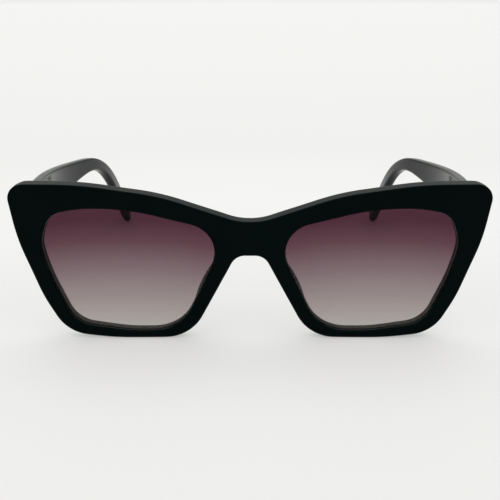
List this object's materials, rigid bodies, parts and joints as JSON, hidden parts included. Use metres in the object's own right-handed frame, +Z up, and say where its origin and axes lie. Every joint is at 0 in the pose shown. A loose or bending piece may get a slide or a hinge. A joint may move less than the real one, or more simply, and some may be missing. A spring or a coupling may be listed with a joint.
{
  "type": "cat eye sunglasses",
  "caption": "Cat-eye sunglasses: thick acetate front with swept-up end pieces, gradient tinted lenses, moulded nose pads and temples that fold on barrel hinges.",
  "frame": {"origin": "on the table, under the middle of the open glasses' footprint", "axes": "+Z up, -Y the way the lenses face, +X towards the wearer's left"},
  "size_m": [0.1434, 0.1462, 0.0498],
  "materials": {
    "black_acetate": "polished black acetate",
    "tinted_lens": "clear, tinted dark plum at the top and fading to pinkish grey at the bottom",
    "hinge_steel": "satin",
    "core_wire_steel": "drawn wire"
  },
  "bodies": {
    "front": {"frame_front": "black_acetate", "lens_left": "tinted_lens", "nose_pad_left": "black_acetate", "hinge_front_leaf_left": "hinge_steel", "hinge_pin_screw_left": "hinge_steel", "front_leaf_screw_left_upper": "hinge_steel", "front_leaf_screw_left_lower": "hinge_steel", "lens_right": "tinted_lens", "nose_pad_right": "black_acetate", "hinge_front_leaf_right": "hinge_steel", "hinge_pin_screw_right": "hinge_steel", "front_leaf_screw_right_upper": "hinge_steel", "front_leaf_screw_right_lower": "hinge_steel"},
    "temple_left": {"temple_left": "black_acetate", "temple_core_wire_left": "core_wire_steel", "hinge_temple_leaf_left": "hinge_steel", "temple_leaf_screw_left_fore": "hinge_steel", "temple_leaf_screw_left_aft": "hinge_steel"},
    "temple_right": {"temple_right": "black_acetate", "temple_core_wire_right": "core_wire_steel", "hinge_temple_leaf_right": "hinge_steel", "temple_leaf_screw_right_fore": "hinge_steel", "temple_leaf_screw_right_aft": "hinge_steel"}
  },
  "joints": [
    {"name": "temple_left_fold", "type": "hinge", "parent": "front", "child": "temple_left", "pos_m": [0.06071, -0.06456, 0.04464], "axis": [0, -0.0958, 0.9954], "range_deg": [0, 86]},
    {"name": "temple_right_fold", "type": "hinge", "parent": "front", "child": "temple_right", "pos_m": [-0.06071, -0.06456, 0.04464], "axis": [0, 0.0958, -0.9954], "range_deg": [0, 79]}
  ]
}
